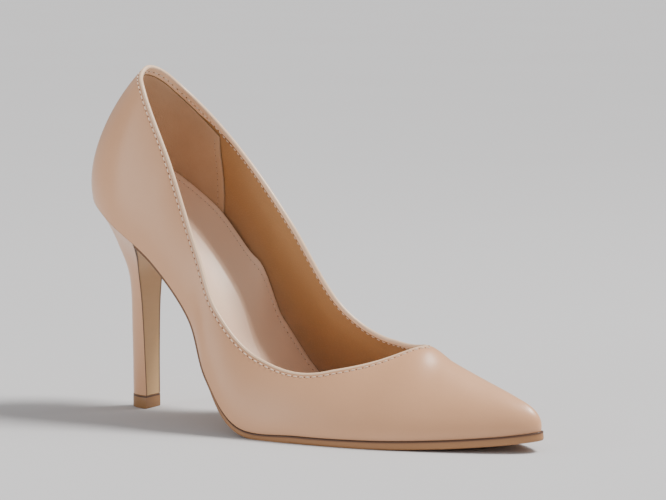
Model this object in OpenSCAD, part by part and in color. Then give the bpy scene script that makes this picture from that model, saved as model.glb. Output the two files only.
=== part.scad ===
// Pointed court shoe with a slim high heel, right foot.
// Millimetres, +X to the toe, +Y to the inner side of the foot, +Z up, floor at Z = 0.
// Every leather layer is an offset of one surface, the last, so the layers nest without touching.

/* [Size] */
// length of the lower edge of the upper, heel to toe
shoe_length = 224; // [205:1:245]
// height of the upper's lower edge at the back of the heel
heel_height = 96; // [80:1:105]
// width across the ball of the foot
ball_width = 70.5; // [64:0.5:78]

/* [Leather] */
// thickness of the outer leather
upper_thick = 1.2; // [1:0.05:1.3]
// thickness of the lining leather
lining_thick = 0.8; // [0.6:0.05:0.9]
// width of the upper turned under the insole
margin_width = 12; // [8:0.5:14]
// height of the rolled edge round the foot opening
edge_height = 1.2; // [0.8:0.1:2]

/* [Bottom] */
// thickness of the outsole at the ball
sole_thick = 3.7; // [3.6:0.1:4.5]
// thickness of the outsole at the waist, under the arch
waist_thick = 1.4; // [1.2:0.1:2]
// how far the outsole stands out past the upper
sole_edge = 0.7; // [0.3:0.1:1]
// thickness of the insole board
insole_thick = 1.8; // [1.5:0.1:2]
// thickness of the sock that covers the insole
sock_thick = 1.1; // [0.8:0.1:1.2]

/* [Heel] */
// height of the replaceable top piece at the heel tip
top_piece_height = 5.9; // [4:0.1:7]
// half width of the heel at its tip
tip_half_width = 5.1; // [4.8:0.1:8]
// thickness of the leather glued round the heel
cover_thick = 0.6; // [0.4:0.05:0.8]

/* [Thread] */
// distance from one stitch to the next
stitch_pitch = 2.8; // [2.4:0.1:4]
// radius of the thread
thread_radius = 0.28; // [0.2:0.02:0.35]

/* [Hidden] */

// moves the shoe so that the middle of its bounding box stands over the origin
center_shift = [-112.2, 2.1, 0];

// The last. One row a station, from the toe tip (0) round to the back of the heel (12):
// x, outer y, inner y, outer z and inner z of the lower edge; x, y and z of the ridge that the two
// sides climb to; then how far the wall bulges, and its fullness low down and high up.
STATIONS = [
    [224,    3,    3,   8.6,  8.6,  212.5, 3,   21.5,  1.2, 0.55, 0.55],
    [220,   -3,    8.5, 8,    8,    205,   3,   24,    1.1, 0.55, 0.55],
    [208.5, -10,   15,  6.5,  6.5,  191.5, 3,   29,    1,   0.5,  0.54],
    [188.5, -20,   22,  4.8,  4.8,  179,   2.5, 34.5,  1.5, 0.41, 0.48],
    [163,   -30,   29,  3.6,  3.6,  171.5, 2,   39.1,  1.8, 0.35, 0.44],
    [131,   -36.5, 34,  3.2,  3.6,  159.5, 1.5, 42,    2.4, 0.37, 0.46],
    [102,   -38.5, 31.5, 4.4, 9.2,  133,   1,   57.5,  3,   0.4,  0.49],
    [83.5,  -35,   25,  23,   31,   107,   0,   92,    3.1, 0.4,  0.5],
    [70.5,  -29.5, 22.5, 47,  55.5, 86,    0,   120,   3.5, 0.4,  0.45],
    [50,    -28,   25.5, 69,  74.5, 64.5,  0,   144.5, 4,   0.4,  0.45],
    [26,    -26,   26,  84.5, 88.5, 52,    0,   159.5, 4.6, 0.4,  0.45],
    [9,     -16,   16,  93,   95,   49,    0,   161.5, 5.3, 0.37, 0.44],
    [0,      0,    0,   96,   96,   48.5,  0,   162,   5.2, 0.36, 0.44]];

// how much of each wall is left under the foot opening, from the throat (4) back to the heel (12)
OUTER_CUT = [1, 0.5, 0.4, 0.31, 0.3, 0.45, 0.585, 0.65, 0.69];
INNER_CUT = [1, 0.7, 0.72, 0.73, 0.63, 0.57, 0.575, 0.66];
// how far the opening dips beside the throat, outer and inner side
THROAT_DIP = [0.34, 0.17];

// Heel sections from tip to seat: share of the height, x of the breast, depth, half width.
HEEL_SECTIONS = [
    [0,    29.6, 10.2, tip_half_width],
    [0.3,  29.2, 9.9,  5.8],
    [0.6,  29,   10.6, 7.2],
    [0.78, 29.6, 18,   10],
    [0.9,  33.5, 27,   16.5]];

back = 12;              // station at the back of the heel
turn = 24;              // one whole turn of the ring of stations
throat = 4;             // station where the two topline edges meet
breast = 9.4375;        // station of the heel's front face
heel_y = -0.9;          // side shift of the heel tip
ball_z = 3.5;           // height of the lower edge at the ball
design_length = 224;
design_heel = 96;
design_ball = 70.5;
gap = 0.1;              // clearance between the parts of the bottom
wall_gap = 0.15;        // clearance between the layers of the wall
stiff_thick = 0.6;      // toe puff and heel counter
grip_thick = 0.6;
tape_thick = 0.3;
tuck_thick = 1.2;         // board that stiffens the rear of the insole
shank_thick = 1;
tip_x = 24.6;           // middle of the heel tip, and of the tube in it
tube_radius = 2;
tube_bore = 1.4;
tube_top = 64;
pin_radius = 1.35;
pin_length = 14;
sole_end = 9.40625;     // station where the outsole meets the heel
heel_steps = 36;        // columns round the back of the heel
thinning = 0.4;         // share of their thickness the layers lose at the foot opening
stitch_drop = 0.8;      // from the edge of the upper down to its stitching
grip_drop = 3.5;        // from the foot opening down to the heel grip
play = 0.03;            // clearance of nails, screw and rivets in their holes
lift = thread_radius + 0.12;
stiff_depth = upper_thick + wall_gap;
tape_depth = stiff_depth + wall_gap;
lining_depth = stiff_depth + stiff_thick + wall_gap;
board_inset = lining_depth + lining_thick + 0.3;
grip_depth = lining_depth + lining_thick + 0.35;
board_low = upper_thick + 0.25;
tuck_low = board_low + insole_thick + gap;
tuck_high = tuck_low + tuck_thick;

// ---------- curves ----------

function unit(v) = v / norm(v);
function mix(a, b, t) = a + (b - a) * t;
function clamp(v, low, high) = max(low, min(high, v));

// Catmull-Rom through the four values p
function blend4(p, f) =
    (2 * p[1] + (p[2] - p[0]) * f + (2 * p[0] - 5 * p[1] + 4 * p[2] - p[3]) * f * f
     + (3 * p[1] - p[0] - 3 * p[2] + p[3]) * f * f * f) / 2;

// smooth closed curve through the list p
function loop(p, u) =
    let (n = len(p), t = (u % n + n) % n, i = floor(t))
    blend4([for (k = [-1:2]) p[(i + k + n) % n]], t - i);

// smooth open curve through the list p
function path(p, t) =
    let (last = len(p) - 1,
         i = clamp(floor(t), 0, last - 1),
         before = i == 0 ? 2 * p[0] - p[1] : p[i - 1],
         after = i + 2 > last ? 2 * p[last] - p[last - 1] : p[i + 2])
    blend4([before, p[i], p[i + 1], after], t - i);

// ---------- the last ----------

pitch = (heel_height - ball_z) / (design_heel - ball_z);
stretch = shoe_length / design_length;
widen = ball_width / design_ball;
function raised(z) = ball_z + (z - ball_z) * (z > ball_z ? pitch : 1);
function feather(s, y, z) = [s[0] * stretch, s[y] * widen, raised(s[z])];
function crest(s) = [s[5] * stretch, s[6] * widen, raised(s[3]) + s[7] - s[3]];

// the stations as rings: outer side first, then the inner side back to the toe
order = concat([for (i = [0:back]) i], [for (i = [back - 1:-1:1]) i]);
LOWER = [for (k = [0:turn - 1]) feather(STATIONS[order[k]], k <= back ? 1 : 2, k <= back ? 3 : 4)];
RIDGE = [for (i = order) crest(STATIONS[i])];
SHAPE = [for (i = order) [STATIONS[i][8], STATIONS[i][9], STATIONS[i][10]]];

function station(u) = let (t = (u % turn + turn) % turn) min(t, turn - t);

// the four control points of the wall's section at ring position u
function section(u) =
    let (f = loop(LOWER, u), r = loop(RIDGE, u), s = loop(SHAPE, u),
         q = clamp(station(u), 0.05, back - 0.05),
         along = loop(RIDGE, q + 0.02) - loop(RIDGE, q - 0.02),
         fade = clamp((6 - q) / 2, 0, 1),
         slope = along[2] / along[0] * fade * fade * (3 - 2 * fade),
         w = [f[0] - r[0], f[1] - r[1], 0],
         out = unit(w))
    [f, f + out * s[0] + [0, 0, s[1] * (r[2] - f[2])], r + s[2] * (w + [0, 0, w[0] * slope]), r];

function bezier(c, v) =
    let (e = 1 - v) c[0] * e * e * e + 3 * c[1] * e * e * v + 3 * c[2] * e * v * v + c[3] * v * v * v;
function bezier_rate(c, v) =
    let (e = 1 - v)
    3 * ((c[1] - c[0]) * e * e + 2 * (c[2] - c[1]) * e * v + (c[3] - c[2]) * v * v);
function outward(u, v) =
    unit(cross(bezier(section(u - 0.02), v) - bezier(section(u + 0.02), v), bezier_rate(section(u), v)));

// share of the wall left under the foot opening
CUT = concat(OUTER_CUT, [for (i = [7:-1:0]) INNER_CUT[i]]);
function dip(u) =
    let (k = clamp(station(u) - throat, 0, 1)) THROAT_DIP[u % turn < back ? 0 : 1] * k * (1 - k) * (1 - k);
function top(u) =
    station(u) <= throat ? 1 : min(1, path(CUT, (u % turn + turn) % turn - throat) - dip(u));

// the layers are skived thinner over the last part of the wall below the opening
function skived(u, v) =
    let (near = clamp((v / top(u) - 0.75) / 0.25, 0, 1), ahead = clamp((station(u) - 3.4) / 0.6, 0, 1))
    1 - thinning * near * near * (3 - 2 * near) * ahead;

// a point depth millimetres inside the last; at the ridge both sides give one point
function on_ridge(q, depth) =
    loop(RIDGE, q) - depth * skived(q, 1) * unit(outward(q, 0.97) + outward(turn - q, 0.97));
function inside(u, v, depth) =
    v >= 1 ? on_ridge(station(u), depth) : bezier(section(u), v) - depth * skived(u, v) * outward(u, v);

// ---------- the bottom ----------

// columns run in from the edge to this line of stations along the middle
function spine_station(q) =
    q + 1.8 * pow(max(0, 1 - q / 4), 2) - 1.4 * pow(max(0, (q - 9) / 3), 2);
function middle(q) = (loop(LOWER, q) + loop(LOWER, turn - q)) / 2;
function bottom_normal(q) =
    let (s = clamp(q, 0.5, back - 0.5), d = middle(s - 0.1) - middle(s + 0.1)) unit([-d[2], 0, d[0]]);
function spine(q, height) =
    let (s = spine_station(q)) middle(s) + height * bottom_normal(s);

// a point on the bottom: share w from the edge (0) to the middle (1), height above it
function bottom(u, w, height) =
    let (q = station(u))
    w >= 1 ? spine(q, height) : mix(loop(LOWER, u) + height * bottom_normal(q), spine(q, height), w);

// a point on a flat layer of the bottom whose edge is inset from the lower edge of the upper
function flat(u, w, height, inset) =
    let (start = inset / norm(loop(LOWER, u) - spine(station(u), 0)))
    bottom(u, w >= 1 ? 1 : mix(start, 1, w), height);

// share of the wall that is a height above the bottom
function share(u, height) =
    let (c = section(u)) height / bottom_normal(station(u))[2] / (3 * (c[1][2] - c[0][2]));

// a point on a layer that rests on the insole: it runs from its edge (w = 0) to its middle (w = 1)
// on one smooth curve from side to side
function layer_edge(u, edge, depth) = inside(u, share(u, edge), depth);
function layer(u, w, edge, mid, depth) =
    let (c = spine(station(u), mid))
    w >= 1 ? c :
    let (e = layer_edge(u, edge, depth), far = layer_edge(turn - u, edge, depth), p = mix(e, c, w),
         tilt = (e[2] - far[2]) / 2, dish = (e[2] + far[2]) / 2 - c[2])
    [p[0], p[1], c[2] + tilt * (1 - w) + dish * (1 - w) * (1 - w)];

// ---------- solids from patches ----------

// A patch is a grid of points. Patches that share their border points close into one solid.
module sewn(patches) {
    corners = [for (p = patches) for (i = [0:len(p) - 2]) for (j = [0:len(p[i]) - 2])
               [p[i][j], p[i + 1][j], p[i + 1][j + 1], p[i][j + 1]]];
    halves = [for (c = corners) each [[c[0], c[1], c[2]], [c[0], c[2], c[3]]]];
    faces = [for (t = halves) if (t[0] != t[1] && t[1] != t[2] && t[2] != t[0]) t];
    polyhedron(points = [for (t = faces) each t],
               faces = [for (i = [0:len(faces) - 1]) [3 * i, 3 * i + 1, 3 * i + 2]]);
}

function flipped(p) = [for (i = [len(p) - 1:-1:0]) p[i]];
function column_ends(p) = [for (c = p) c[len(c) - 1]];
function column_starts(p) = [for (c = p) c[0]];

// where the two halves of a ring meet along their border there is no rim to close
function meets(a, i) = a[i] == a[len(a) - 1 - i];
function rim(a, b) = [for (i = [0:len(a) - 2]) if (!(meets(a, i) && meets(a, i + 1)))
    [[a[i], b[i]], [a[i + 1], b[i + 1]]]];
function side_wall(a, b) = [for (i = [0:len(a) - 1]) [a[i], b[i]]];

// a sheet between an outer and an inner grid; closed when its columns go all the way round
module sheet(outer, inner, closed = false) {
    n = len(outer) - 1;
    ends = closed ? [] : [side_wall(outer[0], inner[0]), flipped(side_wall(outer[n], inner[n]))];
    sewn(concat([outer, flipped(inner)], rim(column_ends(outer), column_ends(inner)),
                rim(flipped(column_starts(outer)), flipped(column_starts(inner))), ends));
}

// ring positions, closest together round the throat where the opening turns sharply
function steps(a, b, n) = [for (i = [0:n - 1]) a + (b - a) * i / n];
SIDE = concat(steps(0, 4, 16), steps(4, 6, 16), steps(6, 12, 24));
RING = concat(SIDE, [back], [for (i = [len(SIDE) - 1:-1:0]) turn - SIDE[i]]);

// wall grid from share low(u) to share high(u)
function wall_grid(us, lows, highs, rows, depth) =
    [for (i = [0:len(us) - 1]) [for (r = [0:rows])
        inside(us[i], r == rows ? highs[i] : mix(lows[i], highs[i], r / rows), depth)]];
function shares(us, height) = [for (u = us) share(u, height)];
function tops(us, part = 1) = [for (u = us) part * top(u)];

module wall_sheet(us, lows, highs, rows, depth, thick, closed = false) {
    sheet(wall_grid(us, lows, highs, rows, depth), wall_grid(us, lows, highs, rows, depth + thick),
          closed);
}

function flat_grid(us, height, insets) =
    [for (i = [0:len(us) - 1]) [for (r = [0:3]) flat(us[i], r / 3, height, insets[i])]];

// ---------- upper, its stiffeners and its lining ----------

function margin_share(u) =
    let (q = station(u)) min(0.8, margin_width / norm(loop(LOWER, u) - spine(q, 0)));
function upper_column(u, depth, low) = concat(
    [for (r = [2:-1:1]) bottom(u, margin_share(u) * r / 2, depth)],
    [for (r = [0:9]) inside(u, r == 9 ? top(u) : mix(low, top(u), r / 9), depth)]);
module upper() {
    outer = [for (u = RING) upper_column(u, 0, 0)];
    inner = [for (u = RING) upper_column(u, upper_thick, share(u, upper_thick))];
    color([0.80, 0.62, 0.52]) sheet(outer, inner, true);
}

module toe_puff() {
    us = [for (i = [-12:12]) i / 4];
    color([0.82, 0.80, 0.74])
        wall_sheet(us, shares(us, board_low), [for (u = us) 1], 6, stiff_depth, stiff_thick);
}

module heel_counter() {
    us = [for (i = [0:34]) 7.75 + i / 4];
    color([0.62, 0.52, 0.42])
        wall_sheet(us, shares(us, board_low), tops(us, 0.86), 6, stiff_depth, stiff_thick);
}

module topline_tape() {
    us = [for (i = [0:60]) 4.5 + i * 0.25];
    color([0.94, 0.93, 0.90])
        wall_sheet(us, tops(us, 0.9), tops(us, 0.98), 1, tape_depth, tape_thick);
}

module lining() {
    color([0.66, 0.45, 0.26])
        wall_sheet(RING, shares(RING, board_low), tops(RING), 6, lining_depth, lining_thick, true);
}

function grip_top(u) = top(u) - grip_drop / norm(bezier_rate(section(u), top(u)));
module heel_grip() {
    us = [for (i = [0:24]) 9 + i * 0.25];
    color([0.48, 0.34, 0.26])
        wall_sheet(us, shares(us, tuck_high + 0.3), [for (u = us) grip_top(u)], 6,
                   grip_depth, grip_thick);
}

// ---------- rolled edge and stitching of the opening ----------

OPENING = concat(steps(4, 6, 16), steps(6, 18, 48), steps(18, 20, 16), [20]);

// on the foot opening: a point, the surface normal, and the way off the edge
function opening_point(u) = inside(u, top(u), 0);
function opening_normal(u) =
    station(u) <= throat ? unit(outward(throat, 0.97) + outward(turn - throat, 0.97))
                         : outward(u, top(u));
function opening_run(u) =
    station(u) <= throat ? [0, -1, 0]
                         : unit(opening_point(min(20, u + 0.05)) - opening_point(max(4, u - 0.05)));
function opening_rise(u) = unit(cross(opening_run(u), opening_normal(u)));

// section of the folded edge: share of the wall's thickness across it, share of its height up it
EDGE = [[0, 0], [-0.05, 0.25], [-0.04, 0.55], [0.1, 0.85], [0.33, 1], [0.62, 1], [0.87, 0.85],
        [1.02, 0.55], [1.04, 0.25], [1, 0]];
// the edge stands up to a small point at the throat
function pointed(u) = 1 + 0.8 * pow(max(0, 1 - (station(u) - throat) * 4), 2);
module topline_edge() {
    wall = (lining_depth + lining_thick) * (1 - thinning);
    rings = [for (u = OPENING) let (p = opening_point(u), n = opening_normal(u), e = opening_rise(u))
        [for (k = [0:len(EDGE)]) let (s = EDGE[k % len(EDGE)])
            p - n * s[0] * wall + e * (gap + s[1] * edge_height) * pointed(u)]];
    color([0.86, 0.70, 0.60]) sewn([rings]);
}

// a row of stitches along a list of points, each lying along the row
function row_length(p) = [for (i = 0, a = 0; i < len(p); i = i + 1,
                               a = a + (i < len(p) ? norm(p[i] - p[i - 1]) : 0)) a];
module stitch_row(points) {
    lengths = row_length(points);
    count = floor(lengths[len(lengths) - 1] / stitch_pitch);
    axes = [for (k = [0:2]) [for (i = [0:len(points) - 1]) [lengths[i], points[i][k]]]];
    for (i = [0:count - 1]) {
        a = [for (k = [0:2]) lookup(stitch_pitch * (i + 0.2), axes[k])];
        b = [for (k = [0:2]) lookup(stitch_pitch * (i + 0.8), axes[k])];
        d = b - a;
        translate(a) rotate([0, acos(d[2] / norm(d)), atan2(d[1], d[0])])
            cylinder(h = norm(d), r = thread_radius, $fn = 16);
    }
}

module topline_stitching() {
    us = concat(steps(4, 6, 32), steps(6, 18, 96), steps(18, 20, 32), [20]);
    color([0.80, 0.62, 0.50])
        stitch_row([for (u = us)
            opening_point(u) - opening_rise(u) * stitch_drop + opening_normal(u) * lift]);
}

module heel_grip_stitching() {
    for (u = [9.125, turn - 9.125])
        color([0.38, 0.26, 0.20])
            stitch_row([for (r = [0:16]) let (low = share(u, tuck_high + 10), high = grip_top(u) * 0.99)
                inside(u, mix(low, high, r / 16), grip_depth + grip_thick) - outward(u, 0.5) * lift]);
}

// ---------- insole ----------

FULL = concat(steps(0, 4, 16), steps(4, 20, 64), steps(20, 24, 16), [24]);
REAR = [for (i = [0:46]) 6.25 + i / 4];

// the sock and the layers below it end inside the lining, and inside the heel grip at the rear
function sock_inset(u) = mix(lining_depth + lining_thick + 0.4,
                             grip_depth + grip_thick + wall_gap, clamp((station(u) - 7) / 1.5, 0, 1));

// places a fastener square to the bottom, at a station and a y
module at_bottom(s, y) {
    outer = loop(LOWER, s);
    inner = loop(LOWER, turn - s);
    n = unit(cross(middle(s - 0.1) - middle(s + 0.1), inner - outer));
    translate(mix(outer, inner, (y - outer[1]) / (inner[1] - outer[1])))
        rotate([0, acos(n[2]), atan2(n[1], n[0])]) children();
}

// heel nails driven from inside: station and y
NAILS = [[9.7, -8], [9.7, 8], [10.2, -7], [10.2, 7], [10.45, 0]];
nail_length = 8;
screw_station = 9.9;
screw_length = 12;

// a flat head sunk in the tuck board over a stem; extra makes the hole, which runs up past the board
module headed(head_r, head_h, stem_r, length, extra) {
    low = tuck_high - head_h - 0.3;
    translate([0, 0, low]) cylinder(h = extra > 0 ? head_h + 4 : head_h, r = head_r + extra, $fn = 32);
    translate([0, 0, -length - extra]) cylinder(h = length + low + 0.1, r = stem_r + extra, $fn = 20);
}
module heel_nails(extra = 0) {
    color([0.70, 0.70, 0.72]) for (p = NAILS) at_bottom(p[0], p[1])
        headed(1.6, 0.6, 0.8, nail_length, extra);
}
module heel_screw(extra = 0) {
    slot = [4.4, 0.6, 1];
    color([0.62, 0.63, 0.65]) at_bottom(screw_station, 0) difference() {
        headed(3, 1.1, 1.6, screw_length, extra);
        if (extra == 0)
            translate([-slot[0] / 2, -slot[1] / 2, tuck_high - 0.9]) cube(slot);
    }
}

// rivets that hold the shank to the insole board
RIVETS = [6.75, 8.9];
rivet_radius = 1.4;
module shank_rivets(extra = 0) {
    height = board_low + insole_thick - 0.2;
    color([0.72, 0.70, 0.66]) for (s = RIVETS) at_bottom(s, 0) translate([0, 0, 0.12 - extra])
        cylinder(h = height + 2 * extra, r = rivet_radius + extra, $fn = 20);
}
module shank() {
    low = 0.15;
    columns = [for (i = [0:26]) 6.375 + i / 8];
    // half width of the strip, which narrows towards both ends
    function half(s) = 6.5 - 1.25 * pow((s - 8) / 2.2, 4);
    function row(s, height) =
        let (across = unit(loop(LOWER, turn - s) - loop(LOWER, s)))
        [for (k = [-2:2]) middle(s) + across * half(s) * k / 2 + bottom_normal(s) * height];
    color([0.55, 0.57, 0.60]) difference() {
        sheet([for (s = columns) row(s, low + shank_thick)], [for (s = columns) row(s, low)]);
        shank_rivets(play);
    }
}

module insole_board() {
    insets = [for (u = FULL) board_inset];
    color([0.74, 0.60, 0.44]) difference() {
        sheet(flat_grid(FULL, board_low + insole_thick, insets), flat_grid(FULL, board_low, insets), true);
        heel_nails(play);
        heel_screw(play);
        shank_rivets(play);
    }
}

// share of its thickness that the tuck board has at its skived front end
function tuck_share(u, least) = clamp((station(u) - 5.9) / 0.9, least, 1);
module tuck_board() {
    function high(u) = tuck_low + tuck_thick * tuck_share(u, 0.3);
    color([0.60, 0.48, 0.36]) difference() {
        sheet([for (u = REAR) [for (r = [0:3]) flat(u, r / 3, high(u), sock_inset(u))]],
              flat_grid(REAR, tuck_low, [for (u = REAR) sock_inset(u)]));
        heel_nails(play);
        heel_screw(play);
    }
}

module bottom_filler() {
    low = 0.05;
    us = [for (i = [-23:23]) i / 4];
    function grid(height) = [for (u = us) [for (r = [0:2])
        bottom(u, r == 2 ? 1 : mix(margin_share(u) + 0.05, 1, r / 2), height)]];
    color([0.55, 0.42, 0.28]) sheet(grid(upper_thick - low), grid(low));
}

// top of the sock above the bottom, at its edge and along its middle, one value a station
SOCK_EDGE = [5.6, 5.4, 5, 4.9, 4.9, 5.3, 6.1, 6.5, 8.2, 11, 12.5, 13, 13];
SOCK_MID = [5.7, 5.5, 5.2, 5.2, 5.7, 6.3, 7, 7.3, 7.9, 8.8, 9.6, 9.8, 9.8];
function sock_point(u, w, drop) =
    let (q = station(u))
    layer(u, w, path(SOCK_EDGE, q) - drop, path(SOCK_MID, q) - drop, sock_inset(u));
function sock_grid(us, drop) = [for (u = us) [for (r = [0:5]) sock_point(u, r / 5, drop)]];
module sock() {
    color([0.87, 0.72, 0.63]) sheet(sock_grid(FULL, 0), sock_grid(FULL, sock_thick), true);
}
module sock_pad() {
    us = [for (i = [0:64]) 4 + i / 4];
    function under(u) = gap + tuck_low + tuck_thick * tuck_share(u, station(u) < 5.75 ? 0 : 0.3);
    color([0.90, 0.84, 0.62])
        sheet(sock_grid(us, sock_thick + 2 * gap),
              [for (u = us) [for (r = [0:5]) flat(u, r / 5, under(u), sock_inset(u))]]);
}
module sock_stitching() {
    us = [for (i = [0:112]) 5 + i / 8];
    color([0.80, 0.64, 0.55]) stitch_row([for (u = us) let (q = station(u))
        sock_point(u, 3 / norm(loop(LOWER, u) - spine(q, 0)), 0) + bottom_normal(q) * (lift + gap)]);
}

// ---------- outsole ----------

function sole_out(q) = mix(sole_edge, -0.4, clamp((q - 5.6) / 1.2, 0, 1));
function sole_depth(q) = mix(sole_thick, waist_thick, clamp((q - 5.2) / 1.6, 0, 1));
function on_floor(p) = [p[0], p[1], max(0, p[2])];
module outsole() {
    us = concat([-sole_end], [for (i = [len(SIDE) - 1:-1:1]) if (SIDE[i] < sole_end) -SIDE[i]],
                [for (u = SIDE) if (u < sole_end) u], [sole_end]);
    tread = [for (u = us) [for (r = [0:4]) let (q = station(u))
        on_floor(flat(u, r / 4, -sole_depth(q), 0.3 - sole_out(q)))]];
    face = [for (u = us) [for (r = [0:4]) flat(u, r / 4, -gap, -sole_out(station(u)))]];
    color([0.60, 0.42, 0.27]) sheet(face, tread);
}

// ---------- heel ----------

function corner(depth) = breast + depth / 22;
function heel_key(j, depth, a, across) =
    let (h = HEEL_SECTIONS[j], x = h[1] - depth, d = h[2] - 2 * depth, w = h[3] - depth)
    [x - d * cos(a), heel_y + w * across];
// a rail from the tip to a point of the seat
function rail(depth, a, across, seat, s) =
    let (low = top_piece_height + gap,
         keys = concat([for (j = [0:4]) let (k = heel_key(j, depth, a, across))
                            [k[0], k[1], mix(low, seat[2], HEEL_SECTIONS[j][0])]], [seat]))
    path(keys, s * 5);
function seat_point(u, depth, w = 0) =
    let (q = station(u), f = loop(LOWER, u), c = spine(q, -gap), m = w + (1 - w) * depth / norm(f - c))
    w >= 1 ? c : mix(f - gap * bottom_normal(q), c, m);
function back_position(t, depth) =
    let (c = corner(depth)) t <= 0.5 ? mix(c, back, 2 * t) : turn - mix(c, back, 2 - 2 * t);
// columns round the back from the outer to the inner corner, and across the breast the other way
function back_column(i, depth, rows) =
    let (t = i / heel_steps, u = back_position(t, depth), a = 180 * t - 90)
    [for (r = [0:rows]) rail(depth, a, sin(a), seat_point(u, depth), r / rows)];
function breast_column(i, depth, rows, n = 4) =
    let (c = corner(depth), u = i <= n ? turn - c : c, w = i <= n ? i / n : 2 - i / n)
    [for (r = [0:rows]) rail(depth, 90, 1 - i / n, seat_point(u, depth, w), r / rows)];

module heel_cover() {
    outer = [for (i = [0:heel_steps]) back_column(i, 0, 12)];
    inner = [for (i = [0:heel_steps]) back_column(i, cover_thick, 12)];
    color([0.78, 0.60, 0.50]) sheet(outer, inner);
}
function narrowed(p, by) = let (m = (p[0] + p[len(p) - 1]) / 2) [for (q = p) m + (q - m) * by];
module heel_breast_cover() {
    function face(depth) = let (cs = [for (i = [0:8]) breast_column(i, depth, 12)])
        [for (i = [0:8]) [for (r = [0:12]) narrowed([for (c = cs) c[r]], 0.95)[i]]];
    color([0.76, 0.56, 0.34]) sheet(face(0), face(cover_thick));
}
module heel_block() {
    depth = cover_thick + wall_gap;
    rows = 12;
    backs = [for (i = [0:heel_steps]) back_column(i, depth, rows)];
    fronts = [for (i = [0:8]) breast_column(i, depth, rows)];
    sides = concat(backs, [for (i = [1:8]) fronts[i]]);
    base = column_starts(sides);
    middle_low = [tip_x, heel_y, base[0][2]];
    seat = [for (i = [0:heel_steps]) let (u = back_position(i / heel_steps, depth))
            [for (r = [0:4]) seat_point(u, depth, r / 4)]];
    color([0.86, 0.84, 0.78]) difference() {
        sewn([sides, flipped([for (p = base) [p, middle_low]]), seat]);
        at_tip(0) cylinder(h = tube_top + 0.5, r = tube_radius + play, $fn = 32);
        heel_nails(play);
        heel_screw(play);
    }
}

module at_tip(z) { translate([tip_x, heel_y, z]) children(); }
module heel_tube() {
    low = top_piece_height + 0.3;
    color([0.60, 0.61, 0.63]) at_tip(low) difference() {
        cylinder(h = tube_top - low, r = tube_radius, $fn = 32);
        translate([0, 0, -1]) cylinder(h = tube_top, r = tube_bore, $fn = 24);
    }
}
// the top piece stands out a little past the heel tip, and is pressed on by its pin
module top_piece() {
    tip = HEEL_SECTIONS[0];
    out = 0.15;
    bore_low = 2.4;
    outline = [for (i = [0:32]) let (a = -90 + 180 * i / 32)
        [tip[1] - (tip[2] + out) * cos(a), heel_y + (tip[3] + out) * sin(a)]];
    color([0.62, 0.45, 0.28]) difference() {
        linear_extrude(top_piece_height) polygon(outline);
        at_tip(bore_low) cylinder(h = top_piece_height, r = pin_radius + play, $fn = 24);
    }
}
module top_piece_pin() {
    color([0.68, 0.69, 0.71]) at_tip(2.5) cylinder(h = pin_length, r = pin_radius, $fn = 24);
}

// ---------- nodes ----------

translate(center_shift) upper();
translate(center_shift) topline_edge();
translate(center_shift) topline_tape();
translate(center_shift) topline_stitching();
translate(center_shift) toe_puff();
translate(center_shift) heel_counter();
translate(center_shift) lining();
translate(center_shift) heel_grip();
translate(center_shift) heel_grip_stitching();
translate(center_shift) insole_board();
translate(center_shift) tuck_board();
translate(center_shift) shank();
translate(center_shift) shank_rivets();
translate(center_shift) bottom_filler();
translate(center_shift) sock_pad();
translate(center_shift) sock();
translate(center_shift) sock_stitching();
translate(center_shift) outsole();
translate(center_shift) heel_block();
translate(center_shift) heel_cover();
translate(center_shift) heel_breast_cover();
translate(center_shift) heel_tube();
translate(center_shift) top_piece();
translate(center_shift) top_piece_pin();
translate(center_shift) heel_nails();
translate(center_shift) heel_screw();
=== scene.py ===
"""Looks for the pointed pump: leather, lining, sock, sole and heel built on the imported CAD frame."""
import math

import bmesh
import bpy
import numpy as np
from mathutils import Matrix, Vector


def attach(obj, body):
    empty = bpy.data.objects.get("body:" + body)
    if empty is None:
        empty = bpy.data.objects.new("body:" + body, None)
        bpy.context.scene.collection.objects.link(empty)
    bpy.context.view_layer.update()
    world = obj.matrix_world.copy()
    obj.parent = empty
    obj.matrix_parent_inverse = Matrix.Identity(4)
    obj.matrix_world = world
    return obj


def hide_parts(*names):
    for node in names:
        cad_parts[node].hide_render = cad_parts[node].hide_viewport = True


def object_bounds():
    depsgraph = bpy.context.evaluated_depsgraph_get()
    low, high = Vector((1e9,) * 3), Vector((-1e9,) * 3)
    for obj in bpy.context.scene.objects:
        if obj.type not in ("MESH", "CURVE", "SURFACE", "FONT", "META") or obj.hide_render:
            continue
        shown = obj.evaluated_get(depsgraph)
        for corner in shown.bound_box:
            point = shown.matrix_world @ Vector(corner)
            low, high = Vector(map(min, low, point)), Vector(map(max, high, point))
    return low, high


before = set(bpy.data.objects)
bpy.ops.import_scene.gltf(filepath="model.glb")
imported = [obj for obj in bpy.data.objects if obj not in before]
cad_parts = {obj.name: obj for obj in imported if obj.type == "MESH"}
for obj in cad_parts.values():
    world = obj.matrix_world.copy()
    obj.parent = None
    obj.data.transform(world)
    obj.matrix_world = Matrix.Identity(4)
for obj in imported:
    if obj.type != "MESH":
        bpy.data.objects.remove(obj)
cad_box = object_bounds()
CENTRE = (cad_box[0] + cad_box[1]) / 2

MM = 0.001
SHIFT = np.array([-112.2, 2.1, 0.0])   # last frame to row frame, in millimetres
BACK, TURN, THROAT, BREAST = 12, 24, 4, 9.4375   # stations: heel back, one turn, throat, heel breast

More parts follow.
